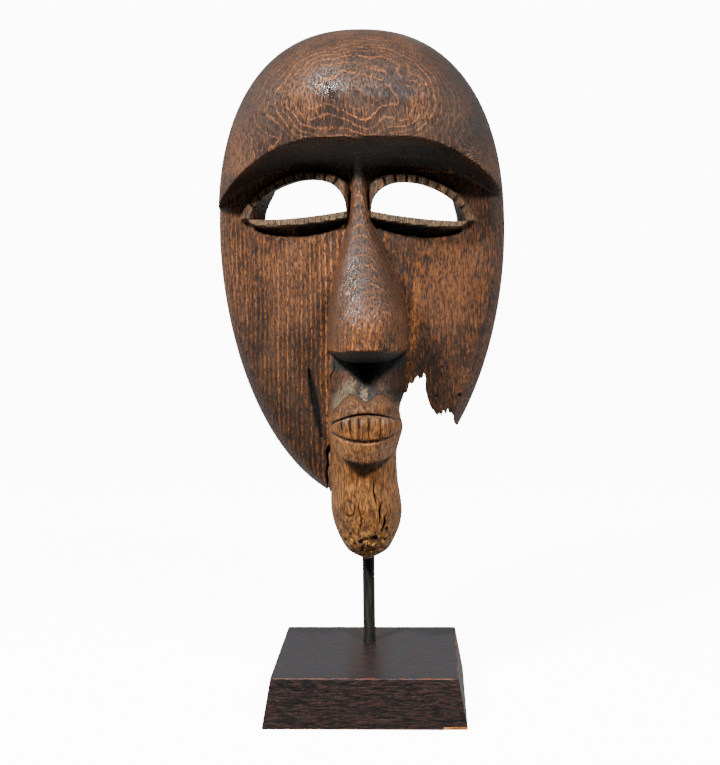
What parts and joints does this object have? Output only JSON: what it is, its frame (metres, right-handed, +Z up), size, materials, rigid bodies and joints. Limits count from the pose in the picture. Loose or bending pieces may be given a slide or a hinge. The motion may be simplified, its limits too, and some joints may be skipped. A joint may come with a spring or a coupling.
{
  "type": "african mask",
  "caption": "Hollow carved wooden face mask with domed forehead, notched eyelids, wedge nose and bared teeth, one lower cheek broken away, on a rod and a pyramid base.",
  "frame": {"origin": "centre of the stand base's square underside, which rests on the surface", "axes": "+Z up along the rod, -Y out of the mask's face towards the viewer, +X to the viewer's right; +Y is behind the mask"},
  "size_m": [0.21, 0.1398, 0.4799],
  "materials": {
    "carved_wood": "hand-carved, dark worn patina with rubbed grain",
    "blackened_steel": "satin black",
    "stained_wood": "dark stained and waxed, edges rubbed"
  },
  "bodies": {
    "root": {"mask": "carved_wood", "stand_rod": "blackened_steel", "stand_base": "stained_wood"}
  },
  "joints": []
}
